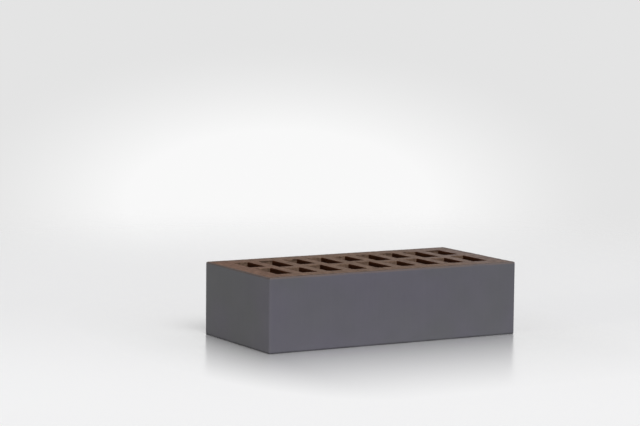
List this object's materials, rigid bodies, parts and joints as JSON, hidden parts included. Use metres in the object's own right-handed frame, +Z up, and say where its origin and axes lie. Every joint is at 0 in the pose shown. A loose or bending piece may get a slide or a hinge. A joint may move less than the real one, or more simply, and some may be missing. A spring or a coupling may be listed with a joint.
{
  "type": "perforated clay facing brick",
  "caption": "Single-format fired clay facing brick with grey side faces, bare wire-cut beds and staggered rectangular slots through it, for laying in mortar.",
  "frame": {"origin": "middle of the lower bed", "axes": "+X along the stretcher faces, +Y from the front stretcher to the back one, +Z up out of the upper bed"},
  "size_m": [0.25, 0.12, 0.065],
  "materials": {
    "fired_clay": "matt fired clay: grey side faces, bare brown beds and slots"
  },
  "bodies": {
    "root": {"brick": "fired_clay"}
  },
  "joints": []
}
